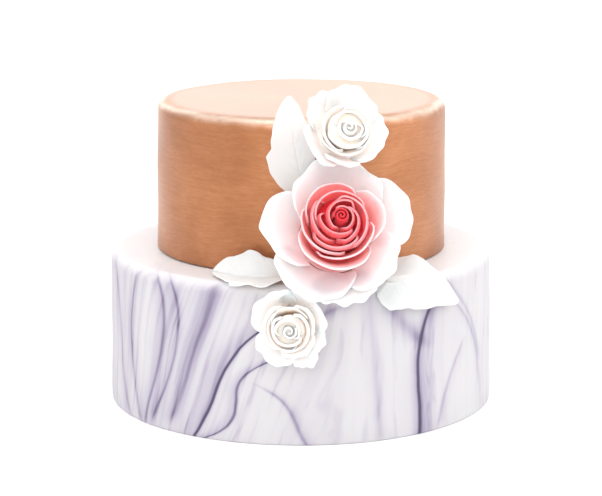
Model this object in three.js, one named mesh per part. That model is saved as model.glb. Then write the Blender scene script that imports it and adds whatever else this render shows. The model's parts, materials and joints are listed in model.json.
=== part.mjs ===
// A two-tier round wedding cake with sugar flowers: a marbled lower tier, a smaller metallic
// upper tier, one large pink rose over the ledge between them, two small ivory roses and
// three white leaves. Millimetres, +Z up, origin at the centre of the cake's base, front at -Y.
import * as THREE from "three";
import { ParametricGeometry } from "three/addons/geometries/ParametricGeometry.js";

// Driving dimensions: two standard cake rounds, 6 and 8 inches across, under rolled icing.
const LOWER = { radius: 104, foot: 105, height: 83.3, shoulder: 6 };
const UPPER = { radius: 78, foot: 78.8, height: 80.8, shoulder: 5.6 };
const JOINT_GAP = 0.3;
const UPPER_BASE = LOWER.height + JOINT_GAP;
const TIER_SIDES = 64;
const SHOULDER_STEPS = 3;

const BIG_PETAL_THICKNESS = 0.75;
const SMALL_PETAL_THICKNESS = 0.6;
const LEAF_THICKNESS = 1.1;
const WALL_CLEARANCE = 0.5;

const COPPER = { color: 0xcf9370, roughness: 0.36, metalness: 0.85 };
const MARBLE = { color: 0xe9e7ee, roughness: 0.5, metalness: 0 };
const PINK = { color: 0xf3c9cd, roughness: 0.6, metalness: 0 };
const DEEP_PINK = { color: 0xd8606b, roughness: 0.6, metalness: 0 };
const IVORY = { color: 0xf7eee6, roughness: 0.62, metalness: 0 };
const WHITE = { color: 0xf8f6f4, roughness: 0.6, metalness: 0 };

// A rose is a nest of cups. Each petal follows one cup whose rim radius, in millimetres, is
// given at its start, middle and end, so that one edge tucks inside its neighbour. turn is the
// direction of the petal's middle and spread its half width, in degrees, seen from the front of
// the flower, anticlockwise from its right. reach is how far up the cup each of the same three
// places goes. point draws the middle of the edge out to a tip, and ruffle makes it wavy.
const PINK_ROSE = {
  name: "pink_rose",
  place: [16.8, -87.8, 104.7],
  facing: 6.6,
  lift: 32,
  radius: 40,
  depth: 34.5,
  fall: 23,
  back: 6,
  bud: { radius: 2, depth: 35 },
  thickness: BIG_PETAL_THICKNESS,
  columns: 8,
  rows: 5,
  petals: [
    { turn: 20, spread: 90, rim: [5.9, 4.2, 3.1], reach: [0.97, 1, 1] },
    { turn: 343, spread: 66, rim: [11.4, 7.9, 5.3], reach: [0.96, 1, 0.98] },
    { turn: 143, spread: 88, rim: [9.3, 5.9, 5.9], reach: [0.98, 1, 0.97] },
    { turn: 8, spread: 72, rim: [14.4, 11.8, 10.6], reach: [0.95, 1, 0.98] },
    { turn: 237, spread: 64, rim: [9.9, 8.5, 7.9], reach: [0.96, 1, 0.95] },
    { turn: 106, spread: 70, rim: [13.9, 13.2, 12.0], reach: [0.95, 1, 0.94] },
    { turn: 188, spread: 49, rim: [14.1, 12.9, 12.4], reach: [0.93, 1, 0.9] },
    { turn: 259, spread: 45, rim: [15.3, 14.6, 12.5], reach: [0.92, 1, 0.93] },
    { turn: 118, spread: 52, rim: [18.6, 19.0, 16.6], reach: [0.94, 1, 0.9] },
    { turn: 214, spread: 52, rim: [19.0, 18.1, 17.1], reach: [0.93, 1, 0.92] },
    { turn: 294, spread: 54, rim: [20.8, 18.2, 16.9], reach: [0.9, 1, 0.92] },
    { turn: 15, spread: 48, rim: [19.3, 23.0, 21.4], reach: [0.88, 1, 0.9] },
    { turn: 254, spread: 72, rim: [21.7, 24.2, 21.9], reach: [0.88, 1, 0.92] },
    { turn: 95, spread: 68, rim: [31.0, 35.0, 24.0], reach: [1, 1.04, 0.86], ruffle: 0.035 },
    { turn: 178, spread: 52, rim: [35.5, 35.6, 31.0], reach: [0.84, 1, 0.74], point: 0.1 },
    { turn: 243, spread: 50, rim: [35.0, 38.2, 32.0], reach: [0.95, 1.02, 0.76], ruffle: 0.02 },
    { turn: 318, spread: 42, rim: [35.4, 35.0, 31.0], reach: [0.94, 0.97, 0.84], ruffle: 0.02 },
    { turn: 20, spread: 40, rim: [35.8, 38.4, 37.0], reach: [0.92, 1.04, 0.96] },
    { turn: 275, spread: 34, rim: [39.0, 38.6, 38.2], reach: [0.92, 0.99, 0.92], ruffle: -0.03 },
  ],
};

const UPPER_ROSE = {
  name: "upper_rose",
  place: [18.5, -82.6, 155.2],
  facing: 18,
  lift: 26,
  radius: 26,
  depth: 21,
  fall: 12,
  back: 2.2,
  bud: { radius: 2.6, depth: 21.2 },
  thickness: SMALL_PETAL_THICKNESS,
  columns: 6,
  rows: 4,
  petals: [
    { turn: 250, spread: 110, rim: [4.2, 4.4, 6.2], reach: [0.98, 1, 0.97] },
    { turn: 60, spread: 80, rim: [8.2, 7.9, 6.4], reach: [0.96, 1, 0.96] },
    { turn: 275, spread: 78, rim: [9.2, 8.1, 9.9], reach: [0.92, 1, 0.94] },
    { turn: 14, spread: 66, rim: [10.9, 11.6, 10.2], reach: [0.92, 1, 0.94] },
    { turn: 165, spread: 72, rim: [11.7, 11.4, 11.4], reach: [0.94, 1, 0.86] },
    { turn: 262, spread: 66, rim: [14.0, 12.4, 11.9], reach: [0.9, 1, 0.86] },
    { turn: 64, spread: 52, rim: [18.6, 22.9, 20.4], reach: [0.93, 1.05, 0.92], point: 0.12 },
    { turn: 126, spread: 46, rim: [25.0, 22.6, 18.4], reach: [0.84, 0.98, 0.88], ruffle: 0.03 },
    { turn: 340, spread: 58, rim: [17.5, 20.2, 24.5], reach: [0.88, 1.03, 0.88], ruffle: -0.04 },
    { turn: 205, spread: 50, rim: [20.7, 20.4, 20.4], reach: [0.88, 0.98, 0.86], ruffle: 0.03 },
    { turn: 258, spread: 40, rim: [17.9, 17.6, 20.0], reach: [0.9, 0.98, 0.86] },
  ],
};

const LOWER_ROSE = {
  name: "lower_rose",
  place: [-4.9, -105.9, 64.2],
  facing: -3,
  lift: 3,
  radius: 21,
  depth: 19,
  fall: 9,
  back: 0,
  bud: { radius: 2.6, depth: 19 },
  thickness: SMALL_PETAL_THICKNESS,
  columns: 6,
  rows: 4,
  petals: [
    { turn: 70, spread: 110, rim: [4.2, 4.3, 6.2], reach: [0.98, 1, 0.97] },
    { turn: 231, spread: 85, rim: [7.9, 6.3, 6.1], reach: [0.97, 1, 0.97] },
    { turn: 100, spread: 62, rim: [10.2, 10.9, 8.8], reach: [0.95, 1, 0.95] },
    { turn: 336, spread: 78, rim: [10.8, 8.4, 8.1], reach: [0.93, 1, 0.95] },
    { turn: 208, spread: 72, rim: [11.0, 9.4, 9.0], reach: [0.95, 1, 0.94] },
    { turn: 30, spread: 54, rim: [10.5, 12.8, 13.2], reach: [0.9, 1, 0.92] },
    { turn: 178, spread: 76, rim: [13.6, 13.2, 12.0], reach: [0.92, 1, 0.88] },
    { turn: 300, spread: 56, rim: [14.5, 13.8, 13.2], reach: [0.9, 1, 0.9] },
    { turn: 142, spread: 46, rim: [17.0, 19.6, 16.6], reach: [0.94, 1.06, 0.9], ruffle: 0.03 },
    { turn: 42, spread: 54, rim: [16.4, 18.4, 19.2], reach: [0.94, 0.98, 0.94], ruffle: 0.035 },
    { turn: 330, spread: 34, rim: [18.4, 18.2, 18.4], reach: [0.9, 0.94, 0.86] },
    { turn: 298, spread: 26, rim: [20.4, 20.4, 20.4], reach: [0.9, 1.02, 0.88] },
    { turn: 236, spread: 50, rim: [18.4, 18.8, 17.6], reach: [0.86, 1.02, 0.94], ruffle: -0.04 },
  ],
};

// A leaf grows along its rib, from stem to tip. near and far are the reaches, at its widest, of
// the half that faces the viewer or the left and of the half that faces away. bulge says where
// each half is widest: halfway along at 1, nearer the stem below that.
const LEAVES = [
  {
    name: "upper_leaf",
    rib: [[3, -81.2, 124], [-1.5, -82, 141], [-4.8, -82.6, 160], [-6.1, -83, 177.4]],
    near: [-15, -2.8, 0],
    far: [9.5, 0.6, 2],
    bulge: [0.72, 0.9],
    wave: 0.5,
  },
  {
    name: "left_leaf",
    rib: [[-4, -93, 87.5], [-20, -93.5, 85.6], [-33, -88.5, 85.4], [-45.5, -80, 85.8]],
    near: [0, -11.5, -0.5],
    far: [1.5, 10.5, 11],
    bulge: [0.85, 0.95],
    wave: 1.7,
  },
  {
    name: "right_leaf",
    rib: [[35, -93.5, 87.5], [48, -93.5, 86], [64, -86.6, 84.6], [82, -70.8, 68]],
    near: [-2.5, -5, -17],
    far: [4.5, 18.5, 7],
    bulge: [1, 0.62],
    wave: 0.9,
  },
];

const radians = THREE.MathUtils.degToRad;

// The curve through three evenly spaced values, at s from -1 to 1.
function through([start, middle, end], s) {
  return middle + ((end - start) / 2) * s + ((start + end) / 2 - middle) * s * s;
}

function material(look) {
  return new THREE.MeshStandardMaterial(look);
}

// A thin closed body round the surface at(s, v, target), s from -1 to 1 and v from 0 to 1. It is
// thickest in the middle and comes to a fine edge all round, as rolled sugar paste does.
function sheetGeometry(at, thickness, columns, rows) {
  const STEP = 1e-3;
  const here = new THREE.Vector3();
  const across = new THREE.Vector3();
  const along = new THREE.Vector3();
  const normal = new THREE.Vector3();
  function skin(u, v, target) {
    const outward = u < 0.5 ? 1 : -1;
    const s = outward > 0 ? 4 * u - 1 : 3 - 4 * u;
    const edge = Math.abs(s) > 1 - STEP || v < STEP || v > 1 - STEP;
    at(s, v, here);
    at(Math.min(s + STEP, 1), v, across);
    at(Math.max(s - STEP, -1), v, along);
    across.sub(along);
    at(s, Math.min(v + STEP, 1), along);
    at(s, Math.max(v - STEP, 0), normal);
    along.sub(normal);
    normal.crossVectors(across, along).normalize();
    target.copy(here).addScaledVector(normal, edge ? 0 : (outward * thickness) / 2);
  }
  return new ParametricGeometry(skin, 2 * columns, rows);
}

// The cup of rim radius rho in a rose: its radius and height at v, from 0 at its foot to 1.
function cup(rose, rho, v) {
  const knee = 0.6 * rose.radius;
  const foot = 0.52 * Math.min(rho, knee) + 0.35 * Math.max(rho - knee, 0);
  const flare = 0.75 * Math.sin((Math.PI / 2) * Math.min(v, 1)) + 0.25 * v ** 4;
  const height = rose.depth - rose.fall * (rho / rose.radius) ** 1.6;
  return { radius: foot + (rho - foot) * flare, height: height * (1.15 * v - 0.15 * v ** 4) };
}

function petalGeometry(rose, petal) {
  const FOOT_V = 0.07;
  const NARROW_FOOT = 0.5;
  const RUFFLES = 2;
  function at(s, v, target) {
    const width = NARROW_FOOT + (1 - NARROW_FOOT) * Math.sin((Math.PI / 2) * Math.min(v / 0.7, 1));
    const side = s * width;
    const angle = radians(petal.turn + side * petal.spread);
    const tip = (petal.point ?? 0) * (1 - Math.abs(s)) ** 3;
    const wave = (petal.ruffle ?? 0) * Math.sin(RUFFLES * 2 * Math.PI * s);
    const top = (through(petal.reach, s) + tip + wave) * (1 - 0.16 * s ** 6);
    const { radius, height } = cup(rose, through(petal.rim, side), FOOT_V + (top - FOOT_V) * v);
    target.set(radius * Math.cos(angle), radius * Math.sin(angle), height);
  }
  return sheetGeometry(at, rose.thickness, rose.columns, rose.rows);
}

// The rolled centre of a rose, on the pad of paste that holds the petals' feet and that sits
// against the cake.
function budGeometry(rose) {
  const { radius, depth } = rose.bud;
  const padRadius = cup(rose, rose.radius, 0).radius;
  const backRadius = rose.back > 0 ? 0.35 * padRadius : padRadius - 1;
  const profile = [
    [0, -rose.back - 1],
    [backRadius, -rose.back - 1],
    [padRadius, -0.7],
    [padRadius - 0.6, -0.3],
    [radius * 0.5, -0.2],
    [radius * 0.7, depth * 0.35],
    [radius, depth * 0.8],
    [radius * 0.6, depth * 0.97],
    [0, depth],
  ].map(([r, z]) => new THREE.Vector2(r, z));
  return new THREE.LatheGeometry(profile, 14).rotateX(Math.PI / 2);
}

function rose(spec) {
  const flower = new THREE.Group();
  flower.position.set(...spec.place);
  flower.rotation.set(radians(90 - spec.lift), 0, radians(spec.facing), "ZXY");
  const deepest = spec === PINK_ROSE ? DEEP_PINK : IVORY;
  const bud = new THREE.Mesh(budGeometry(spec), material(deepest));
  bud.name = `${spec.name}_bud`;
  flower.add(bud);
  spec.petals.forEach((petal, index) => {
    const inner = index < spec.petals.length / 2 ? deepest : PINK;
    const look = spec === PINK_ROSE ? inner : IVORY;
    const mesh = new THREE.Mesh(petalGeometry(spec, petal), material(look));
    mesh.name = `${spec.name}_petal_${String(index + 1).padStart(2, "0")}`;
    flower.add(mesh);
  });
  return flower;
}

// Moves a point out of the cake, to stand clear of the walls and the ledge by the clearance.
function clearOfCake(point, clearance) {
  const wall = point.z > LOWER.height ? UPPER.foot : LOWER.foot;
  const out = Math.hypot(point.x, point.y);
  const onLedge = point.z > LOWER.height - LOWER.shoulder && out < LOWER.radius;
  if (onLedge) point.z = Math.max(point.z, LOWER.height + clearance);
  const top = UPPER_BASE + UPPER.height;
  const need = wall + clearance - out;
  if (need > 0 && point.z < top && !(onLedge && out > UPPER.foot + clearance)) {
    point.x *= 1 + need / out;
    point.y *= 1 + need / out;
  }
  return point;
}

function leaf(spec) {
  const rib = new THREE.CatmullRomCurve3(spec.rib.map((p) => new THREE.Vector3(...p)));
  const near = new THREE.Vector3(...spec.near);
  const far = new THREE.Vector3(...spec.far);
  const WAVES = 2.5;
  function at(s, v, target) {
    const bulge = spec.bulge[s < 0 ? 0 : 1];
    const width = Math.max(Math.sin(Math.PI * v ** bulge), 0) ** 0.7;
    rib.getPoint(v, target);
    target.addScaledVector(s < 0 ? near : far, Math.abs(s) * width);
    target.z += spec.wave * s * s * Math.sin(WAVES * 2 * Math.PI * v) * Math.sin(Math.PI * v);
    clearOfCake(target, WALL_CLEARANCE + LEAF_THICKNESS / 2);
  }
  const geometry = sheetGeometry(at, LEAF_THICKNESS, 6, 10);
  const mesh = new THREE.Mesh(geometry, material(WHITE));
  mesh.name = spec.name;
  return mesh;
}

// A round of cake under icing: an upright wall that widens a little to its foot and a rounded
// shoulder, turned about the cake's axis.
function tier(name, size, base, look) {
  const profile = [[0, 0], [size.foot - 0.8, 0], [size.foot, 0.8]];
  for (let step = 0; step <= SHOULDER_STEPS; step += 1) {
    const angle = (Math.PI / 2) * (step / SHOULDER_STEPS);
    const inset = size.shoulder * (1 - Math.cos(angle));
    profile.push([size.radius - inset, size.height - size.shoulder * (1 - Math.sin(angle))]);
  }
  profile.push([0, size.height]);
  const points = profile.map(([r, z]) => new THREE.Vector2(r, z));
  const mesh = new THREE.Mesh(
    new THREE.LatheGeometry(points, TIER_SIDES).rotateX(Math.PI / 2),
    material(look),
  );
  mesh.name = name;
  mesh.position.z = base;
  return mesh;
}

const cake = new THREE.Group();
cake.add(tier("lower_tier", LOWER, 0, MARBLE));
cake.add(tier("upper_tier", UPPER, UPPER_BASE, COPPER));
cake.add(...[PINK_ROSE, UPPER_ROSE, LOWER_ROSE].map(rose));
cake.add(...LEAVES.map(leaf));

export default cake;
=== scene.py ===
import json
import math

import bpy
import numpy as np
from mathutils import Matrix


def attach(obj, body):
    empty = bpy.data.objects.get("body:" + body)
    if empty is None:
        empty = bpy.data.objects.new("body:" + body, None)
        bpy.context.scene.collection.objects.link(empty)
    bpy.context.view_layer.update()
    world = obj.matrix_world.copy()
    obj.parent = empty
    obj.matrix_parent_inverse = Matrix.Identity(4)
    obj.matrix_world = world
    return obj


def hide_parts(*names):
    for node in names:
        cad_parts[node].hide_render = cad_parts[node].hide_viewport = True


# The looks of a two-tier wedding cake with sugar flowers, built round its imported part. Lengths in
# the tables are millimetres in the part's frame: +Z up, the flowers at the front, towards -Y.
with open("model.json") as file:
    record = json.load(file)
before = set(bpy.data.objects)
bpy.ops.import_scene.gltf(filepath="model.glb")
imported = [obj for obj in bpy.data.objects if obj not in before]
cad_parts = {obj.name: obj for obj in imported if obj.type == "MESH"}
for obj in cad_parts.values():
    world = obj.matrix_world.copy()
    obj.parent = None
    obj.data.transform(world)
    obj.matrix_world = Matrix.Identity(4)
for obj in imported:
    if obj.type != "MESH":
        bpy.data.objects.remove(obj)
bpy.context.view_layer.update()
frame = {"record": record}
MM = 0.001

# ---------------------------------------------------------------- camera

# In metres, degrees below the level, and millimetres of lens.
CAMERA_PLACE = (0, -1.1615, 0.3344)
DOWNWARD_DEGREES = 12.32
LENS = 128.95

camera = bpy.data.objects.new("camera", bpy.data.cameras.new("camera"))
bpy.context.scene.collection.objects.link(camera)
bpy.context.scene.camera = camera
camera.location = CAMERA_PLACE
camera.rotation_euler = (math.radians(90 - DOWNWARD_DEGREES), 0, 0)
camera.data.sensor_width = 36
camera.data.lens = LENS
camera.data.clip_start = 0.05
bpy.context.scene.view_settings.view_transform = "Standard"

# ---------------------------------------------------------------- shader maths


class Wire:
    """A socket of a finish. Arithmetic on it adds the Math nodes that work it out."""

    def __init__(self, finish, socket):
        self.finish = finish
        self.socket = socket

    def __add__(self, other):
        return self.finish.math("ADD", self, other)

    def __radd__(self, other):
        return self.finish.math("ADD", other, self)

    def __sub__(self, other):
        return self.finish.math("SUBTRACT", self, other)

    def __rsub__(self, other):
        return self.finish.math("SUBTRACT", other, self)

    def __mul__(self, other):
        return self.finish.math("MULTIPLY", self, other)

    def __rmul__(self, other):
        return self.finish.math("MULTIPLY", other, self)

    def __truediv__(self, other):
        return self.finish.math("DIVIDE", self, other)

    def __abs__(self):
        return self.finish.math("ABSOLUTE", self)


class Finish:
    """A material under construction: a Principled shader and the nodes that feed it."""

    def __init__(self, name, constants):
        self.material = bpy.data.materials.new(name)
        self.material.use_nodes = True
        self.tree = self.material.node_tree
        self.shader = self.tree.nodes["Principled BSDF"]
        for socket, value in constants.items():
            self.shader.inputs[socket].default_value = value

    def plug(self, socket, value):
        if isinstance(value, Wire):
            self.tree.links.new(value.socket, socket)
        else:
            socket.default_value = value

    def node(self, kind, settings=None, inputs=None):
        """Adds a node: its settings first, then the values or links of its sockets."""
        made = self.tree.nodes.new(kind)
        for name, value in (settings or {}).items():
            if name == "stops":
                while len(made.color_ramp.elements) < len(value):
                    made.color_ramp.elements.new(1)
                for element, (position, colour) in zip(made.color_ramp.elements, value):
                    element.position = position
                    element.color = (*colour, 1)
            else:
                setattr(made, name, value)
        for name, value in (inputs or {}).items():
            self.plug(made.inputs[name], value)
        return made

    def math(self, operation, first, second=0.0):
        made = self.node("ShaderNodeMath", {"operation": operation}, {0: first, 1: second})
        return Wire(self, made.outputs[0])

    def attribute(self, name):
        """One of the per-point values that a piece carries."""
        return Wire(self, self.node("ShaderNodeAttribute", {"attribute_name": name}).outputs["Fac"])

    def place(self):
        """Where a point is, in metres from the cake's origin."""
        return Wire(self, self.node("ShaderNodeTexCoord").outputs["Object"])

    def parts(self, vector):
        """The three numbers of a vector."""
        made = self.node("ShaderNodeSeparateXYZ", None, {0: vector})
        return [Wire(self, output) for output in made.outputs]

    def point(self, x, y, z=0.0):
        return Wire(self, self.node("ShaderNodeCombineXYZ", None, {0: x, 1: y, 2: z}).outputs[0])

    def turned(self, vector, angle):
        """A vector turned about the upright axis."""
        made = self.node(
            "ShaderNodeVectorRotate", {"rotation_type": "Z_AXIS"}, {"Vector": vector, "Angle": angle}
        )
        return Wire(self, made.outputs[0])

    def wrap(self, value, low, high):
        """Brings value between low and high by whole steps of high - low."""
        made = self.node("ShaderNodeMath", {"operation": "WRAP"}, {0: value, 1: high, 2: low})
        return Wire(self, made.outputs[0])

    def noise(self, vector, scale, detail, roughness=0.5):
        made = self.node(
            "ShaderNodeTexNoise",
            {"noise_dimensions": "3D"},
            {"Vector": vector, "Scale": scale, "Detail": detail, "Roughness": roughness},
        )
        return Wire(self, made.outputs[0])

    def ease(self, value, low, high, start=0.0, end=1.0):
        """A smooth step from start to end while value goes from low to high."""
        made = self.node(
            "ShaderNodeMapRange",
            {"interpolation_type": "SMOOTHSTEP"},
            {0: value, 1: low, 2: high, 3: start, 4: end},
        )
        return Wire(self, made.outputs[0])

    def ramp(self, value, stops):
        """A colour that runs through stops of (position, colour) as value goes from 0 to 1."""
        made = self.node("ShaderNodeValToRGB", {"stops": stops}, {0: value})
        return Wire(self, made.outputs["Color"])

    def blend(self, amount, first, second):
        """Mixes two colours."""
        made = self.node(
            "ShaderNodeMix", {"data_type": "RGBA"}, {0: amount, 6: first, 7: second}
        )
        return Wire(self, made.outputs[2])

    def relief(self, height, distance, strength):
        """A normal bumped by height, where a height of 1 stands for the distance in metres."""
        made = self.node(
            "ShaderNodeBump", None, {"Strength": strength, "Distance": distance, "Height": height}
        )
        return Wire(self, made.outputs[0])

    def finish(self, **sockets):
        """Feeds the shader's named sockets and hands over the material."""
        for name, value in sockets.items():
            self.plug(self.shader.inputs[name.replace("_", " ")], value)
        return self.material


def bell(value):
    """1 at 0, falling smoothly to nothing by about 2 on either side."""
    return value.finish.math("EXPONENT", value * value * -1.0)


# ---------------------------------------------------------------- sizes of the tiers

# Radius of the wall near its top and at its foot, height, and radius of the rounded shoulder.
# The upper tier starts a little above the lower one's top.
LOWER = {"radius": 104, "foot": 105, "height": 83.3, "shoulder": 6}
UPPER = {"radius": 78, "foot": 78.8, "height": 80.8, "shoulder": 5.6}
UPPER_BASE = 83.6

# ---------------------------------------------------------------- finishes

# Veins of colour kneaded into the lower tier's icing. Each vein: the points that it runs through,
# as distance round the wall from the front and height; the half width and strength of its dark
# thread; how far its paler stain reaches to its left and right, and the strength of that; and the
# heights between which it shows.
VEINS = [
    ([(-126, 60), (-124, 39), (-120, 17), (-112, 3)], (1.6, 0.2), (6, 3, 0.16), (-5, 92)),
    ([(-105, 70), (-109, 48), (-106, 21), (-100, 5)], (1.3, 0.24), (3, 7, 0.2), (-5, 92)),
    ([(-84, 82), (-77.5, 65), (-82, 37), (-93, 5)], (1.1, 0.34), (6, 2, 0.24), (-5, 100)),
    ([(-73.5, 81), (-67.5, 66), (-71, 39), (-82, 15)], (1.0, 0.38), (7, 3, 0.22), (0, 98)),
    ([(-45, 82), (-51, 63), (-61, 35), (-68, 18)], (1.6, 0.26), (7, 5, 0.26), (2, 94)),
    ([(-23.6, 58), (-33.3, 48), (-41.6, 35), (-47.5, 21), (-56, 3)], (0.75, 0.95), (9, 1.6, 0.34), (-8, 70)),
    ([(-17, 44), (-29, 36.5), (-34.5, 25), (-42, 6)], (0.8, 0.55), (5, 1.5, 0.26), (-8, 52)),
    ([(-20, 30), (-11, 24), (-3, 11), (1, 1.5)], (1.2, 0.3), (2, 4, 0.2), (-8, 34)),
    # The next row is no thin thread: it darkens a broad, short band of the wall just under the big rose and
    # its leaves.
    ([(8, 67), (20, 72), (33, 76)], (3.0, 0.14), (9, 9, 0.2), (62, 80)),
    ([(38.5, 57), (40, 33), (42, 6)], (1.8, 0.12), (5, 5, 0.08), (-5, 90)),
    ([(73.5, 68), (69, 53), (64, 43), (65.8, 29), (66, 13), (65, 1)], (1.1, 0.75), (4, 7, 0.42), (-8, 84)),
    ([(52.7, 66), (60.2, 57), (69, 47.5)], (4.0, 0.16), (8, 6, 0.26), (44, 76)),
    ([(98, 61), (114, 41), (119, 29)], (1.2, 0.2), (4, 2, 0.12), (16, 72)),
    ([(97, 39.5), (88, 25), (83, 15)], (1.2, 0.2), (2, 5, 0.12), (-2, 48)),
    ([(91.5, 73), (107, 56), (118.5, 37)], (1.2, 0.18), (3, 3, 0.1), (26, 88)),
]
# The veins' curves count heights in VEIN_UNIT. A vein fades over VEIN_FADE at either end, and the
# streaks on the left lean from LEAN_TOP down.
VEIN_UNIT = 50.0
VEIN_FADE = 9.0
LEAN_TOP = 82.0


def marbled_icing():
    """White rolled icing with colour kneaded in. The veins come twice, half a turn apart."""
    icing = Finish(
        "marbled_icing",
        {"Subsurface Weight": 0.12, "Subsurface Scale": 0.004, "Specular IOR Level": 0.35},
    )
    place = icing.place()
    rise = icing.attribute("rise")
    x, y, _ = icing.parts(place)
    radius = float(LOWER["radius"])
    quarter_turn = math.pi / 2 * radius
    around = icing.math("ARCTAN2", x, y * -1.0) * radius
    along = icing.wrap(around, -quarter_turn, quarter_turn)
    # Slow and quick wandering of every vein, and the lean of the streaks on the left.
    drift = (icing.noise(place, 13, 1) - 0.5) * 9.0 + (icing.noise(place, 60, 2) - 0.5) * 1.6
    slant = icing.ease(along, 45.0, -15.0, 0.0, 0.36) * icing.ease(along, -155.0, -60.0)
    swept = (drift + (LEAN_TOP - rise) * slant) / radius
    across, deep, _ = icing.parts(icing.turned(place, swept))
    # Broad folds and fine streaks, both drawn out long up the wall.
    kneaded = icing.noise(icing.point(across * 45.0, deep * 45.0, rise * 0.009), 1.0, 3, 0.55)
    streaked = icing.noise(icing.point(across * 220.0, deep * 220.0, rise * 0.007), 1.0, 3, 0.5)
    t = rise / VEIN_UNIT
    stain = 0.0
    for points, (width, darkness), (reach_left, reach_right, strength), (low, high) in VEINS:
        heights = [height / VEIN_UNIT for _, height in points]
        powers = np.polyfit(heights, [off_front for off_front, _ in points], min(3, len(points) - 1))
        path = powers[0]
        for power in powers[1:]:
            path = t * path + float(power)
        off = along + drift - path
        side = icing.ease(off, -0.6, 0.6, reach_left, reach_right)
        shown = icing.ease(rise, low, low + VEIN_FADE) * icing.ease(rise, high, high - VEIN_FADE)
        ink = bell(off / width) * darkness + bell(off / side) * (streaked * strength * 1.9)
        stain = stain + ink * shown
    # Hair-thin threads where the folds meet, and a haze that is stronger on the left.
    thread = icing.ease(abs(kneaded - 0.5), 0.03, 0.0) * icing.ease(streaked, 0.4, 0.62) * 0.13
    left_side = icing.ease(along, -10.0, -50.0) * icing.ease(along, -162.0, -125.0) * 0.65 + 0.35
    folds = icing.ease(kneaded, 0.36, 0.7) * 0.16
    haze = (folds + icing.ease(streaked, 0.46, 0.66) * 0.12) * left_side
    # Painted highlight, with the blend further down: the veins fade over the shoulder and the ledge, so the
    # top of the lower tier reads lighter than its wall, as if lit from above.
    ledge = icing.ease(rise, 78.0, 90.0, 1.0, 0.35)
    stain = (stain + thread + haze) * ledge
    colour = icing.ramp(
        stain,
        [
            (0.0, (0.57, 0.56, 0.57)),
            (0.14, (0.5, 0.475, 0.52)),
            (0.38, (0.375, 0.34, 0.425)),
            (0.68, (0.21, 0.18, 0.265)),
            (1.0, (0.07, 0.055, 0.11)),
        ],
    )
    # Painted highlight: the shoulder and the ledge are blended towards a pale colour much lighter than the
    # wall's own white, as if lit from above.
    colour = icing.blend(icing.ease(rise, 76.0, 88.0, 0.0, 0.5), colour, (0.9, 0.87, 0.87, 1))
    skin = icing.noise(place, 420, 3) * 0.6 + icing.noise(place, 60, 2) * 2.0
    return icing.finish(
        Base_Color=colour,
        Roughness=0.42 + icing.noise(place, 130, 2) * 0.16,
        Normal=icing.relief(skin, 0.00012, 0.6),
    )


WEAR_AND_HIGHLIGHT_RISE = 81.5
WEAR_AND_HIGHLIGHT_WIDTH = 3.2


def copper_lustre():
    """Copper lustre brushed round the wall. Its pale rim is partly wear and partly a painted highlight, its
    paler top is a painted reflection, and it is painted darker as shade a little left of the front.
    """
    copper = Finish(
        "copper_lustre", {"Metallic": 0.88, "Coat Weight": 0.32, "Coat Roughness": 0.35}
    )
    place = copper.place()
    along = copper.attribute("along")
    rise = copper.attribute("rise")
    sway = (copper.noise(place, 30, 2) - 0.5) * 5.0
    strokes = copper.noise(copper.point(along * 0.045, rise * 0.6 + sway), 1.0, 3, 0.62)
    fine = copper.noise(copper.point(along * 0.22, rise * 2.6 + sway), 1.0, 3, 0.65)
    clouds = copper.noise(place, 30, 4, 0.62)
    # The bell term is painted shade: it darkens the wall a little left of the front, standing in for the
    # dimmer reflection that the metal gives there.
    tone = strokes * 0.34 + fine * 0.5 + clouds * 0.6 - 0.19 - bell((along + 28.0) / 44.0) * 0.12
    colour = copper.ramp(
        tone,
        [
            (0.2, (0.3, 0.108, 0.04)),
            (0.45, (0.4, 0.158, 0.064)),
            (0.65, (0.5, 0.215, 0.098)),
            (0.9, (0.66, 0.35, 0.185)),
        ],
    )
    # Pale band along the rim: partly wear where the lustre thins at the edge, partly a painted highlight of
    # the light that the shoulder catches from above.
    rim = bell((rise - WEAR_AND_HIGHLIGHT_RISE + (clouds - 0.5) * 9.0) / WEAR_AND_HIGHLIGHT_WIDTH)
    wear_and_highlight = rim * copper.ease(fine, 0.25, 0.6, 0.5, 1.0)
    colour = copper.blend(wear_and_highlight * 0.75, colour, (0.97, 0.78, 0.64, 1))
    # Painted reflection: the top is blended towards a pale colour, standing in for the bright light that it
    # mirrors from behind.
    colour = copper.blend(copper.ease(rise, 84.0, 92.0, 0.0, 0.3), colour, (0.93, 0.72, 0.6, 1))
    return copper.finish(
        Base_Color=colour,
        Roughness=0.3 + fine * 0.12 + clouds * 0.12,
        Normal=copper.relief(strokes * 0.4 + fine * 0.9 + clouds * 0.6, 0.0002, 0.6),
    )


# Colours of the pastes from undusted to deeply dusted.
PINK_STOPS = [
    (0.0, (0.84, 0.82, 0.815)),
    (0.2, (0.93, 0.785, 0.79)),
    (0.42, (0.95, 0.47, 0.49)),
    (0.68, (0.94, 0.24, 0.26)),
    (0.88, (0.9, 0.13, 0.15)),
    (1.0, (0.66, 0.02, 0.035)),
]
IVORY_STOPS = [
    (0.0, (0.87, 0.855, 0.84)),
    (0.35, (0.97, 0.89, 0.83)),
    (0.7, (0.97, 0.77, 0.66)),
    (1.0, (0.95, 0.6, 0.42)),
]
WHITE_STOPS = [
    (0.0, (0.73, 0.71, 0.69)),
    (0.5, (0.7, 0.655, 0.62)),
    (1.0, (0.66, 0.58, 0.52)),
]


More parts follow.
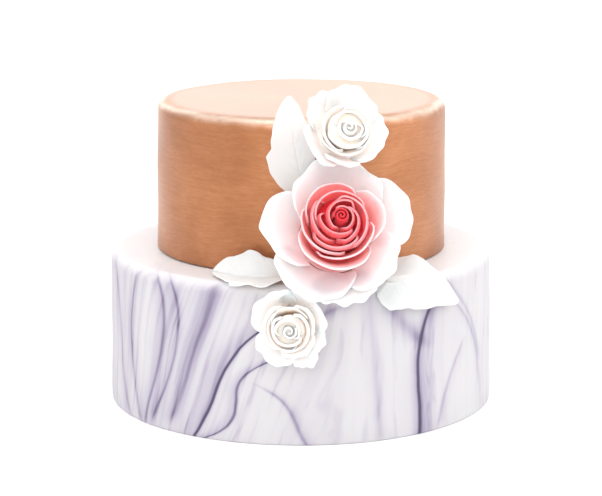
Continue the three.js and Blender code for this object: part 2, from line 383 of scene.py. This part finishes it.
def sugar_paste(name, stops, creases):
    """Rolled sugar paste, dusted with colour where the flush attribute says, with fine creases."""
    paste = Finish(
        name,
        {
            "Subsurface Weight": 0.9,
            "Subsurface Radius": (1.0, 0.75, 0.65),
            "Subsurface Scale": 0.005,
            "Specular IOR Level": 0.3,
            "Sheen Weight": 0.12,
        },
    )
    place = paste.place()
    across = paste.attribute("across")
    upward = paste.attribute("upward")
    dusting = paste.noise(place, 260, 3) - 0.5
    pressed = paste.noise(paste.point(across * 9.0, upward * 1.6), 1.0, 3, 0.6)
    grain = paste.noise(place, 1100, 2)
    flush = paste.attribute("flush") + dusting * 0.09 + (pressed - 0.5) * 0.07
    return paste.finish(
        Base_Color=paste.ramp(flush, stops),
        Roughness=0.5 + grain * 0.12,
        Normal=paste.relief(pressed * creases + grain * 0.35, 0.00022, 0.55),
    )


FINISHES = {"marbled_icing": marbled_icing(), "copper_lustre": copper_lustre()}
for name, stops, creases in [
    ("deep_pink_paste", PINK_STOPS, 1.6),
    ("blush_paste", PINK_STOPS, 2.0),
    ("ivory_paste", IVORY_STOPS, 1.6),
    ("white_paste", WHITE_STOPS, 1.2),
]:
    FINISHES[name] = sugar_paste(name, stops, creases)
PINK_PASTES = ("deep_pink_paste", "blush_paste")

# ---------------------------------------------------------------- meshes

SLOT_OF = {row["node"]: row["material_slot"] for row in frame["record"]["subparts"]}


def piece(node, points, faces, values):
    """Makes the shown piece of a node from points in millimetres and its per-point values."""
    mesh = bpy.data.meshes.new(node)
    mesh.from_pydata((points * MM).tolist(), [], faces)
    mesh.shade_smooth()
    for name, numbers in values.items():
        mesh.attributes.new(name, "FLOAT", "POINT").data.foreach_set(
            "value", np.asarray(numbers, np.float32)
        )
    mesh.materials.append(FINISHES[SLOT_OF[node]])
    made = bpy.data.objects.new(node + "_sugar", mesh)
    bpy.context.scene.collection.objects.link(made)
    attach(made, "root")
    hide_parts(node)


def lathe(profile, sides):
    """Points and faces of a closed body turned from a profile that starts and ends on its axis."""
    ring = np.linspace(0, 2 * np.pi, sides, endpoint=False)
    inner = profile[1:-1]
    rings = np.stack(
        [
            inner[:, :1] * np.cos(ring),
            inner[:, :1] * np.sin(ring),
            np.repeat(inner[:, 1:], sides, 1),
        ],
        axis=2,
    ).reshape(-1, 3)
    points = np.vstack([[0, 0, profile[0, 1]], rings, [0, 0, profile[-1, 1]]])
    last = len(points) - 1
    top = 1 + (len(inner) - 1) * sides
    faces = []
    for k in range(sides):
        following = (k + 1) % sides
        faces.append((0, 1 + following, 1 + k))
        faces.append((last, top + k, top + following))
        for level in range(len(inner) - 1):
            low = 1 + level * sides
            faces.append((low + k, low + following, low + sides + following, low + sides + k))
    return points, faces


def smooth_noise(seed, waves, longest, shortest):
    """A seeded sum of waves over space: a function from points to values of about -1 to 1."""
    chance = np.random.default_rng(seed)
    lengths = chance.uniform(shortest, longest, waves)
    turns = chance.normal(size=(waves, 3))
    turns *= (2 * np.pi / lengths / np.linalg.norm(turns, axis=1))[:, None]
    phases = chance.uniform(0, 2 * np.pi, waves)
    return lambda points: np.sin(points @ turns.T + phases).sum(-1) / math.sqrt(waves)


TIER_SIDES = 360
# A tier's unevenness sets in over FOOT_BAND from its foot, and that of its top over TOP_BAND.
FOOT_BAND = 6
TOP_BAND = 12


def tier(node, size, base, seed, unevenness):
    """A covered tier: a slightly uneven wall that narrows upwards, and a rounded shoulder.

    It carries how far round the wall each point is, and its rise, which goes on over the top.
    """
    foot, radius, height, shoulder = size["foot"], size["radius"], size["height"], size["shoulder"]
    foot_roll = np.radians(np.linspace(-90, 0, 6))
    turn = np.radians(np.linspace(0, 90, 14))
    wall = np.linspace(0, 1, 42)[1:]
    profile = [(0, 0), (foot * 0.5, 0)]
    profile += [(foot - 1 + math.cos(a), 1 + math.sin(a)) for a in foot_roll]
    profile += [(foot + (radius - foot) * k, 1 + (height - shoulder - 1) * k) for k in wall]
    profile += [
        (radius - shoulder * (1 - math.cos(a)), height - shoulder * (1 - math.sin(a)))
        for a in turn[1:]
    ]
    profile += [((radius - shoulder) * k, height) for k in np.linspace(1, 0, 26)[1:]]
    points, faces = lathe(np.array(profile), TIER_SIDES)
    out = np.hypot(points[:, 0], points[:, 1])
    rise = points[:, 2] + radius - np.minimum(out, radius)
    around = np.arcsin(np.clip(points[:, 0] / np.maximum(out, 1e-6), -1, 1)) * radius
    bumps = smooth_noise(seed, 14, 90, 26)(points) * unevenness
    lift = np.clip(points[:, 2] / FOOT_BAND, 0, 1)
    points[:, :2] *= (1 + bumps * lift / np.maximum(out, 20))[:, None]
    slack = smooth_noise(seed + 1, 10, 120, 40)(points) * unevenness * 0.8
    points[:, 2] += np.clip((points[:, 2] - height + TOP_BAND) / TOP_BAND, 0, 1) * slack
    points[:, 2] += base
    piece(node, points, faces, {"along": around, "rise": rise})


# Rows of points that round an edge, as shares of the thickness.
EDGE_STEPS = np.array([0, 0.05, 0.22, 0.55])


def spaced(count, length, thickness):
    """Places from 0 to 1 along a length, close together near both ends to round the edges."""
    edge = EDGE_STEPS * thickness / length
    middle = np.linspace(thickness / length, 1 - thickness / length, count)
    return np.concatenate([edge, middle, 1 - edge[::-1]])


def sheet(middle, thickness, across, upward, size):
    """A closed body of rolled paste round a middle surface: two skins that share its border.

    across runs from -1 to 1 and upward from 0 to 1 over the grid; size is the surface's width
    and height, which say how far each point is from the rounded edge.
    """
    rows, columns = middle.shape[:2]
    normal = np.cross(np.gradient(middle, axis=1), np.gradient(middle, axis=0))
    normal /= np.maximum(np.linalg.norm(normal, axis=2, keepdims=True), 1e-9)
    side = (1 - np.abs(across)) * size[0] / 2
    inset = np.minimum(side, np.minimum(upward, 1 - upward) * size[1])
    roundness = np.sqrt(1 - (1 - np.clip(inset / (0.8 * thickness.max()), 0, 1)) ** 2)
    offset = normal * (thickness * roundness / 2)[..., None]
    front = np.arange(rows * columns).reshape(rows, columns)
    back = front.copy()
    inner = back[1:-1, 1:-1]
    inner[...] = rows * columns + np.arange(inner.size).reshape(inner.shape)
    points = np.vstack(
        [(middle + offset).reshape(-1, 3), (middle - offset)[1:-1, 1:-1].reshape(-1, 3)]
    )

    def skin(index):
        corners = [index[:-1, :-1], index[:-1, 1:], index[1:, 1:], index[1:, :-1]]
        quads = np.stack([c.ravel() for c in corners], axis=1).tolist()
        # A corner's quad is cut from its outermost point, or both skins would share a triangle.
        cuts = {0: 0, columns - 2: 1, len(quads) - columns + 1: 1, len(quads) - 1: 0}
        for number in sorted(cuts, reverse=True):
            quad = np.roll(quads[number], -cuts[number]).tolist()
            quads[number : number + 1] = [quad[:3], [quad[0], quad[2], quad[3]]]
        return quads

    faces = skin(front) + [face[::-1] for face in skin(back)]

    def both(values):
        values = np.broadcast_to(values, (rows, columns))
        return np.concatenate([values.ravel(), values[1:-1, 1:-1].ravel()])

    return points, faces, both


# ---------------------------------------------------------------- roses

# Each rose is a family of nested cups. place is the middle of their feet, and facing and lift turn
# the rose in degrees. radius is that of the widest cup's rim, depth the height of the innermost
# rim, and fall how much lower the widest one is. back is how far the pad behind it goes back; bud
# gives the radius and depth of the rolled heart, and roll its fullness and turns. belly is how far
# the heart's petals swell out below their rims, crevice how deep the gaps between them are, and
# flush the dusting of the roll and of the paste in the gaps; in the pink rose these are the deepest
# crimson, partly real dusting and partly painted shade in the gaps of its heart. grid is the
# points across and up a petal.
#
# Each petal: direction of its middle and half width in degrees, the rim radius of the cup that it
# follows at its start, middle and end, how far up the cup it reaches there, how deeply it is
# flushed, and where named its point and its ruffle.
ROSES = {
    "pink_rose": {
        "place": (16.8, -87.8, 104.7),
        "facing": 6.6,
        "lift": 32,
        "radius": 40,
        "depth": 34.5,
        "fall": 23,
        "back": 6,
        "bud": (2.0, 35),
        "roll": (1.45, 2.1),
        "belly": 2.2,
        "crevice": 7.5,
        # The deepest crimson here is partly real dusting and partly painted shade in the gaps of the heart.
        "flush": (1.3, 1.12),
        "thickness": 1.1,
        "grid": (40, 36),
        "petals": [
            (20, 90, (5.9, 4.8, 4.1), (0.97, 1, 1), 0.98, {}),
            (343, 66, (11.4, 7.9, 5.3), (0.96, 1, 0.98), 0.93, {}),
            (143, 88, (9.3, 5.9, 5.9), (0.98, 1, 0.97), 0.94, {}),
            (8, 72, (14.4, 11.8, 10.6), (0.95, 1, 0.98), 0.78, {}),
            (237, 64, (9.9, 8.5, 7.9), (0.96, 1, 0.95), 0.94, {}),
            (106, 70, (13.9, 13.2, 12.0), (0.95, 1, 0.94), 0.78, {}),
            (188, 49, (14.1, 12.9, 12.4), (0.93, 1, 0.9), 0.86, {}),
            (259, 45, (15.3, 14.6, 12.5), (0.92, 1, 0.93), 0.8, {}),
            (118, 52, (18.6, 19.0, 16.6), (0.94, 1, 0.9), 0.6, {}),
            (214, 52, (19.0, 18.1, 17.1), (0.93, 1, 0.92), 0.6, {}),
            (294, 54, (20.8, 18.2, 16.9), (0.9, 1, 0.92), 0.5, {}),
            (15, 48, (19.3, 23.0, 21.4), (0.88, 1, 0.9), 0.35, {}),
            (254, 72, (21.7, 24.2, 21.9), (0.88, 1, 0.92), 0.42, {}),
            (95, 68, (31.0, 35.0, 24.0), (1, 1.04, 0.86), 0.04, {"ruffle": 0.035}),
            (178, 52, (35.5, 35.6, 31.0), (0.84, 1, 0.74), 0.03, {"point": 0.12}),
            (243, 50, (35.0, 38.2, 32.0), (0.95, 1.02, 0.76), 0.05, {"ruffle": 0.02}),
            (318, 42, (35.4, 35.0, 31.0), (0.94, 0.97, 0.84), 0.05, {"ruffle": 0.02}),
            (20, 40, (35.8, 38.4, 37.0), (0.92, 1.04, 0.96), 0.05, {}),
            (275, 34, (39.0, 38.6, 38.2), (0.92, 0.99, 0.92), 0.03, {"ruffle": -0.03}),
        ],
    },
    "upper_rose": {
        "place": (18.5, -82.6, 155.2),
        "facing": 18,
        "lift": 26,
        "radius": 26,
        "depth": 21,
        "fall": 12,
        "back": 2.2,
        "bud": (2.6, 21.2),
        "roll": (1.0, 1.5),
        "belly": 2.2,
        "crevice": 2.6,
        "flush": (0.12, 0.6),
        "thickness": 1.0,
        "grid": (30, 28),
        "petals": [
            (250, 110, (4.2, 4.4, 6.2), (0.98, 1, 0.97), 0.42, {}),
            (60, 80, (8.2, 7.9, 6.4), (0.96, 1, 0.96), 0.42, {}),
            (275, 78, (9.2, 8.1, 9.9), (0.92, 1, 0.94), 0.38, {}),
            (14, 66, (10.9, 11.6, 10.2), (0.92, 1, 0.94), 0.34, {}),
            (165, 72, (11.7, 11.4, 11.4), (0.94, 1, 0.86), 0.3, {}),
            (262, 66, (14.0, 12.4, 11.9), (0.9, 1, 0.86), 0.26, {}),
            (64, 52, (18.6, 22.9, 20.4), (0.93, 1.05, 0.92), 0.06, {"point": 0.12}),
            (126, 46, (25.0, 22.6, 18.4), (0.84, 0.98, 0.88), 0.05, {"ruffle": 0.03}),
            (340, 58, (17.5, 20.2, 24.5), (0.88, 1.03, 0.88), 0.05, {"ruffle": -0.04}),
            (205, 50, (20.7, 20.4, 20.4), (0.88, 0.98, 0.86), 0.05, {"ruffle": 0.03}),
            (258, 40, (17.9, 17.6, 20.0), (0.9, 0.98, 0.86), 0.06, {}),
        ],
    },
    "lower_rose": {
        "place": (-4.9, -105.9, 64.2),
        "facing": -3,
        "lift": 3,
        "radius": 21,
        "depth": 19,
        "fall": 9,
        "back": 0,
        "bud": (2.6, 19),
        "roll": (1.0, 1.5),
        "belly": 2.2,
        "crevice": 2.6,
        "flush": (0.12, 0.6),
        "thickness": 1.0,
        "grid": (30, 28),
        "petals": [
            (70, 110, (4.2, 4.3, 6.2), (0.98, 1, 0.97), 0.46, {}),
            (231, 85, (7.9, 6.3, 6.1), (0.97, 1, 0.97), 0.44, {}),
            (100, 62, (10.2, 10.9, 8.8), (0.95, 1, 0.95), 0.42, {}),
            (336, 78, (10.8, 8.4, 8.1), (0.93, 1, 0.95), 0.4, {}),
            (208, 72, (11.0, 9.4, 9.0), (0.95, 1, 0.94), 0.38, {}),
            (30, 54, (10.5, 12.8, 13.2), (0.9, 1, 0.92), 0.24, {}),
            (178, 76, (13.6, 13.2, 12.0), (0.92, 1, 0.88), 0.2, {}),
            (300, 56, (14.5, 13.8, 13.2), (0.9, 1, 0.9), 0.2, {}),
            (136, 60, (17.4, 19.6, 17.0), (0.96, 1.05, 0.9), 0.1, {"ruffle": 0.015}),
            (48, 66, (16.4, 18.4, 18.8), (0.94, 1.0, 0.96), 0.1, {"ruffle": 0.02}),
            (330, 34, (18.4, 18.2, 18.4), (0.9, 0.94, 0.86), 0.1, {}),
            (298, 26, (20.4, 20.4, 20.4), (0.9, 1.02, 0.88), 0.08, {}),
            (236, 50, (18.4, 18.8, 17.6), (0.86, 1.02, 0.94), 0.1, {"ruffle": -0.04}),
        ],
    },
}


def through(values, s):
    """The curve through three evenly spaced values, at s from -1 to 1."""
    start, middle, end = values
    return middle + (end - start) / 2 * s + ((start + end) / 2 - middle) * s * s


def rim_height(rose, rho):
    """How high the rim of the cup of radius rho stands."""
    return rose["depth"] - rose["fall"] * (rho / rose["radius"]) ** 1.6


def cup(rose, rho, v):
    """Radius and height, at v from 0 to 1, of the cup of rim radius rho in a rose."""
    knee = 0.6 * rose["radius"]
    foot = 0.52 * np.minimum(rho, knee) + 0.35 * np.maximum(rho - knee, 0)
    flare = 0.75 * np.sin(np.pi / 2 * np.minimum(v, 1)) + 0.25 * v**4
    return foot + (rho - foot) * flare, rim_height(rose, rho) * (1.15 * v - 0.15 * v**4)


def closeness(rose, rho):
    """1 for the tightly wrapped petals at the heart of a rose, 0 for its open ones."""
    closed = 1 - np.clip((rho / rose["radius"] - 0.36) / 0.3, 0, 1)
    return closed**2 * (3 - 2 * closed)


def heart_bulge(rose, rho, v):
    """How far a petal bellies out, at v from 0 at its foot to 1 at its rim."""
    swell = rose["belly"] * closeness(rose, rho)
    return swell * np.sin(np.pi * v**3.6) * np.minimum(rho / 6, 1)


def settle(rose, points):
    """Turns a rose's points from its own frame, facing +Z, to their place on the cake."""
    facing, tip = math.radians(rose["facing"]), math.radians(90 - rose["lift"])
    about_x = np.array(
        [[1, 0, 0], [0, math.cos(tip), -math.sin(tip)], [0, math.sin(tip), math.cos(tip)]]
    )
    about_z = np.array(
        [
            [math.cos(facing), -math.sin(facing), 0],
            [math.sin(facing), math.cos(facing), 0],
            [0, 0, 1],
        ]
    )
    return points @ (about_z @ about_x).T + np.array(rose["place"])


def dusting(node, flush, s, v, closed):
    """How deeply a petal is dusted: deeper towards its foot and paler along its edge. Both are partly real
    dusting and partly painted light: painted shade in the crevices at the foot, a painted highlight along
    the rim.
    """
    # The paler rims are partly real dusting and partly a painted highlight.
    edge = np.maximum(np.abs(s) ** 12 * v, v ** (20 + 30 * closed))
    # Both branches deepen the colour towards the foot: partly real dusting and partly painted shade in the
    # crevices between the petals.
    if SLOT_OF[node] not in PINK_PASTES:
        return flush * (1 - 0.9 * edge) + 1.6 * flush * (1 - v)
    if flush > 0.5:
        foot = 0.16 * (1 - v) ** 1.5
    elif flush < 0.2:
        foot = 0.12 * (1 - v) ** 2.2
    else:
        foot = 0.45 * (1 - v) ** 1.2
    return flush * (1 - 0.38 * edge) + foot


# How far a heart petal's ends turn in, for each half width that they reach past its side.
TUCK = 4.5


def petal(node, rose, row, seed):
    """A petal on its cup. s runs from -1 to 1 across it and v from 0 at its foot to 1 at its rim."""
    turn, spread, rim, reach, flush, extras = row
    rho_middle = rim[1]
    outer = min(rho_middle / rose["radius"], 1)
    size = (2 * math.radians(spread) * rho_middle, rose["depth"])
    s = 2 * spaced(rose["grid"][0], size[0], rose["thickness"])[None, :] - 1
    v = spaced(rose["grid"][1], size[1], rose["thickness"])[:, None]
    phases = np.random.default_rng(seed).uniform(0, 2 * np.pi, 5)
    # Narrow at the foot and rounded in at the top; near the heart wider, with its ends tucked in.
    width = 0.5 + 0.5 * np.sin(np.pi / 2 * np.minimum(v / 0.7, 1))
    closed = closeness(rose, rho_middle)
    side = s * width * (1 - 0.17 * (1 - closed) * np.clip((v - 0.55) / 0.45, 0, 1) ** 2.5)
    side = side * (1 + 0.32 * closed)
    tucked = np.maximum(np.abs(side) - 1, 0)
    angle = np.radians(turn + side * spread)
    tip = extras.get("point", 0) * (1 - np.abs(s)) ** 3
    wave = extras.get("ruffle", 0) * np.sin(4 * np.pi * s)
    nicks = outer * (0.008 * np.sin(7 * s + phases[0]) + 0.005 * np.sin(15 * s + phases[1]))
    rounded = 1 - (1 - closed) * (0.16 * s**6 + 0.1 * s**14) - 0.9 * tucked**1.3
    top = (through(reach, np.clip(side, -1, 1)) + tip + wave + nicks) * rounded
    up = 0.07 + (top - 0.07) * v
    rho = through(rim, np.clip(side, -1, 1)) - TUCK * tucked
    radius, height = cup(rose, rho, up)
    radius = radius + heart_bulge(rose, rho, v)
    # The rim curls outwards, flutters and dimples more in the open petals.
    curl = np.clip((v - 0.8) / 0.2, 0, 1) ** 2 * (0.35 + 0.9 * outer)
    flutter = outer**2 * v**3 * (0.8 * np.sin(5 * s + phases[2]) + 0.4 * np.sin(11 * s + phases[3]))
    dimple = 0.25 * np.sin(4 * s + 3 * v + phases[4]) * v * outer
    radius = radius + curl + flutter + dimple
    height = height - 0.35 * curl + 0.3 * flutter
    middle = np.stack([radius * np.cos(angle), radius * np.sin(angle), height], axis=2)
    thickness = rose["thickness"] * (1 - (0.32 - 0.2 * closed) * v) * np.ones_like(s)
    points, faces, both = sheet(middle, thickness, s, v, size)
    flushed = both(dusting(node, flush, s, v, closed))
    piece(
        node,
        settle(rose, points),
        faces,
        {"flush": flushed, "across": both(s + seed), "upward": both(v)},
    )


# The cone of paste inside a rose follows the cup of CORE_REACH of its radius. PAD_TOP is where the
# pad behind it is widest, and ROLL_LENGTH is about the length of the strip its heart is rolled of.
CORE_REACH = 0.42
PAD_TOP = -0.7
BUD_SIDES = 48
ROLL_LENGTH = 30


def core_profile(rose):
    """The outline of the pad behind a rose and of the cone of paste inside it."""
    radius, depth = rose["bud"]
    pad = cup(rose, rose["radius"], 0)[0]
    pad_back = 0.35 * pad if rose["back"] > 0 else pad - 1
    back = -rose["back"] - 1
    profile = [(0, back), (pad_back - 0.6, back), (pad_back, back + 0.5)]
    profile += [
        (pad_back + (pad - pad_back) * k**0.7, back + 0.5 + (PAD_TOP - back - 0.5) * k)
        for k in np.linspace(0, 1, 6)[1:]
    ]
    profile.append((pad - 0.6, -0.3))
    core = CORE_REACH * rose["radius"]
    core_top = 0.88 - rose["crevice"] / depth
    profile += [cup(rose, core, v) for v in np.linspace(0.02, core_top, 10)]
    for out in np.linspace(profile[-1][0] - 0.8, radius * 1.3, 8):
        profile.append((out, rim_height(rose, out) - rose["crevice"]))
    profile += [(radius * 0.9, depth * 0.87), (radius * 0.7, depth * 0.93), (0, depth * 0.94)]
    return np.array(profile, float)


def bud(node, rose, seed):
    """The rolled heart of a rose and the cone of paste that the petals' feet are pressed to."""
    radius, depth = rose["bud"]
    core, core_faces = lathe(core_profile(rose), BUD_SIDES)
    fullness, turns = rose["roll"]
    roll_radius = radius * fullness
    roll_thickness = 0.85 * rose["thickness"]
    s = 2 * spaced(70, ROLL_LENGTH, roll_thickness)[None, :] - 1
    v = spaced(14, depth, roll_thickness)[:, None]
    wound = (s + 1) / 2
    angle = 2 * np.pi * turns * wound + seed
    distance = (0.45 + (roll_radius + 0.35) * wound) * (1.45 - 0.45 * v**5)
    height = depth * (0.3 + 0.7 * v) * (1.005 - 0.02 * wound)
    middle = np.stack([distance * np.cos(angle), distance * np.sin(angle), height], axis=2)
    thickness = roll_thickness * np.ones((v.size, s.size))
    roll, roll_faces, both = sheet(middle, thickness, s, v, (ROLL_LENGTH, depth))
    points = np.vstack([core, roll])
    faces = core_faces + [[corner + len(core) for corner in face] for face in roll_faces]
    # The cone shows only in the gaps between the heart's petals: its colour there is partly real dusting and
    # partly painted shade. The roll's top edge is a little paler, partly dusting and partly a painted
    # highlight.
    roll_flush, core_dusting_and_shade = rose["flush"]
    pad = cup(rose, rose["radius"], 0)[0]
    fading = np.clip(1.75 - np.hypot(core[:, 0], core[:, 1]) / (0.75 * pad), 0.2, 1)
    flushed = np.concatenate([core_dusting_and_shade * fading, both(roll_flush * (1 - 0.2 * v**30))])
    across = np.concatenate([np.zeros(len(core)), both(s * 2)])
    upward = np.concatenate([np.zeros(len(core)), both(v)])
    piece(node, settle(rose, points), faces, {"flush": flushed, "across": across, "upward": upward})


# ---------------------------------------------------------------- leaves

# rib is the leaf's middle from stem to tip; near and far are the reaches of its two halves at
# their widest; bulge says where along it each half is widest, and fineness how slender its ends
# are; wave lifts the edge up and down; nick is where the near half steps in, and by what share.
LEAVES = {
    "upper_leaf": {
        "rib": [(3, -81.2, 124), (-1.5, -82, 141), (-4.8, -82.6, 160), (-6.1, -83, 177.4)],
        "near": (-15, -2.8, 0),
        "far": (9.5, 0.6, 2),
        "bulge": (0.72, 0.9),
        "wave": 0.5,
        "fineness": (0.7, 0.7),
        "nick": (0.43, 0.18),
    },
    "left_leaf": {
        "rib": [(-4, -93, 87.5), (-20, -93.5, 85.6), (-33, -88.5, 85.4), (-45.5, -80, 85.8)],
        "near": (0, -12.5, -1.8),
        "far": (1.5, 10.5, 11),
        "bulge": (1.15, 1.0),
        "wave": 1.2,
        "fineness": (0.5, 0.7),
        "nick": (0.9, 0.0),
    },
    "right_leaf": {
        "rib": [(35, -93.5, 87.5), (48, -93.5, 86), (64, -86.6, 84.6), (82, -70.8, 68)],
        "near": (-2.5, -5, -17),
        "far": (4.5, 18.5, 7),
        "bulge": (1, 0.62),
        "wave": 0.9,
        "fineness": (0.62, 1.15),
        "nick": (0.9, 0.0),
    },
}
# LEAF_TIP is the share of its width that a leaf keeps at either end. SIDE_VEINS is how many veins
# leave each side of its rib, and VEIN_SLANT how many of them a straight line out would cross.
LEAF_THICKNESS = 1.1
LEAF_TIP = 0.02
SIDE_VEINS = 8.5
VEIN_SLANT = 2.6
WALL_CLEARANCE = 0.5


def clear_of_cake(points, clearance):
    """Moves points out of the tiers, to stand clear of the walls and the ledge."""
    x, y, z = points[..., 0], points[..., 1], points[..., 2]
    out = np.hypot(x, y)
    wall = np.where(z > LOWER["height"], UPPER["foot"], LOWER["foot"])
    on_ledge = (z > LOWER["height"] - LOWER["shoulder"]) & (out < LOWER["radius"])
    z = np.where(on_ledge, np.maximum(z, LOWER["height"] + clearance), z)
    need = wall + clearance - out
    top = UPPER_BASE + UPPER["height"]
    inside = (need > 0) & (z < top) & ~(on_ledge & (out > UPPER["foot"] + clearance))
    stretch = np.where(inside, 1 + need / out, 1)
    return np.stack([x * stretch, y * stretch, z], axis=-1)


def leaf(node, spec, seed):
    """A leaf pressed in a veiner. s runs from -1 to 1 across it and v from 0 to 1 along it."""
    stations = np.array([0, 1 / 3, 2 / 3, 1])
    rib_powers = np.polyfit(stations, np.array(spec["rib"], float), 3)
    length = np.linalg.norm(np.array(spec["rib"][-1]) - np.array(spec["rib"][0]))
    breadth = np.linalg.norm(spec["near"]) + np.linalg.norm(spec["far"])
    s = 2 * spaced(64, breadth, LEAF_THICKNESS)[None, :] - 1
    v = spaced(84, length, LEAF_THICKNESS)[:, None]
    phase = np.random.default_rng(seed).uniform(0, 2 * np.pi)
    bulge = np.where(s < 0, *spec["bulge"])
    fineness = np.where(s < 0, *spec["fineness"]) * np.ones_like(v)
    width = np.maximum(np.maximum(np.sin(np.pi * v**bulge), 0) ** fineness, LEAF_TIP)
    nick, drop = spec["nick"]
    width = width * np.where(s < 0, 1 - drop * np.clip((v - nick) / 0.06, 0, 1), 1)
    width = width * (1 + 0.012 * np.sin(46 * v + phase) * np.abs(s) ** 4)
    half = np.where(s[..., None] < 0, spec["near"], spec["far"])
    rib = 0
    for power in rib_powers:
        rib = rib * v[..., None] + power
    middle = rib + half * (np.abs(s) * width)[..., None]
    middle[..., 2] += spec["wave"] * s * s * np.sin(5 * np.pi * v) * np.sin(np.pi * v)
    middle = clear_of_cake(middle, WALL_CLEARANCE + LEAF_THICKNESS / 2)
    normal = np.cross(np.gradient(middle, axis=1), np.gradient(middle, axis=0))
    normal /= np.maximum(np.linalg.norm(normal, axis=2, keepdims=True), 1e-9)
    pressed_rib = np.exp(-((s / 0.035) ** 2)) * (1 - v) ** 0.5
    # Side veins leave the rib at even steps and slant towards the tip, with a swell between two.
    slant = SIDE_VEINS * v - VEIN_SLANT * np.abs(s) ** 0.85
    side_veins = np.exp(-(((slant - np.round(slant)) / 0.11) ** 2)) * (1 - np.abs(s) ** 3)
    swell = 0.5 * np.cos(2 * np.pi * slant) * np.abs(s) * (1 - s**6)
    relief = 0.2 * swell - 0.16 * side_veins - 0.4 * pressed_rib
    middle = middle + normal * (relief * width**1.5)[..., None]
    points, faces, both = sheet(
        middle, LEAF_THICKNESS * (1 - 0.3 * np.abs(s)) * np.ones_like(v), s, v, (breadth, length)
    )
    flush = 0.05 + 0.16 * pressed_rib + 0.08 * side_veins + 0.5 * (1 - v) ** 4
    piece(
        node, points, faces, {"flush": both(flush), "across": both(s + seed), "upward": both(v * 3)}
    )


# ---------------------------------------------------------------- the cake

tier("lower_tier", LOWER, 0, 3, 0.28)
tier("upper_tier", UPPER, UPPER_BASE, 5, 0.3)
for name, rose in ROSES.items():
    bud(f"{name}_bud", rose, len(name))
    for number, row in enumerate(rose["petals"], 1):
        petal(f"{name}_petal_{number:02d}", rose, row, number + 40 * len(name))
for seed, (name, spec) in enumerate(LEAVES.items(), 11):
    leaf(name, spec, seed)

# ---------------------------------------------------------------- floor and light


def studio_white():
    """The floor's paint, very slightly clouded."""
    white = Finish("studio_white", {"Roughness": 0.7, "Specular IOR Level": 0.2})
    cloud = white.noise(white.place(), 3, 2)
    return white.finish(
        Base_Color=white.ramp(cloud, [(0.0, (0.93, 0.93, 0.935)), (1.0, (0.95, 0.95, 0.95))])
    )


FLOOR_REACH = 3.0
BEND_START = 1.6
BEND_RADIUS = 0.6
BACKDROP_TOP = 2.6


def sweep():
    """A floor that curves up into a backdrop."""
    run = [(-FLOOR_REACH, 0.0), (BEND_START, 0.0)]
    for a in np.radians(np.linspace(0, 90, 16))[1:]:
        run.append((BEND_START + BEND_RADIUS * math.sin(a), BEND_RADIUS * (1 - math.cos(a))))
    run.append((BEND_START + BEND_RADIUS, BACKDROP_TOP))
    points = [(x, y, z) for y, z in run for x in (-FLOOR_REACH, FLOOR_REACH)]
    faces = [(2 * k, 2 * k + 1, 2 * k + 3, 2 * k + 2) for k in range(len(run) - 1)]
    mesh = bpy.data.meshes.new("sweep")
    mesh.from_pydata(points, [], faces)
    mesh.shade_smooth()
    mesh.materials.append(studio_white())
    made = bpy.data.objects.new("sweep", mesh)
    bpy.context.scene.collection.objects.link(made)


def softbox(name, place, aim, size, watts):
    """A white rectangular lamp, size wide and high, that stands at place and shines at aim."""
    lamp = bpy.data.lights.new(name, "AREA")
    lamp.shape = "RECTANGLE"
    lamp.size, lamp.size_y = size
    lamp.energy = watts
    made = bpy.data.objects.new(name, lamp)
    made.location = place
    direction = np.array(aim, float) - np.array(place, float)
    across = math.atan2(direction[0], -direction[1])
    down = math.atan2(math.hypot(direction[0], direction[1]), -direction[2])
    made.rotation_euler = (down, 0, across + math.pi)
    bpy.context.scene.collection.objects.link(made)


sweep()
world = bpy.data.worlds.new("studio")
world.use_nodes = True
world.node_tree.nodes["Background"].inputs["Color"].default_value = (1, 1, 1, 1)
world.node_tree.nodes["Background"].inputs["Strength"].default_value = 1.0
bpy.context.scene.world = world
softbox("front", (-0.35, -1.95, 0.95), (0, 0, 0.12), (1.6, 1.0), 14.5)
softbox("top", (0, -0.5, 2.0), (0, 0, 0.1), (1.8, 0.8), 13)
softbox("back", (0, 1.9, 1.0), (0, 0, 0.2), (3.2, 1.3), 9)
softbox("left", (-1.7, -0.2, 0.7), (0, 0, 0.1), (1.4, 1.2), 3.0)
softbox("right", (1.7, -0.2, 0.7), (0, 0, 0.1), (1.4, 1.2), 8.0)
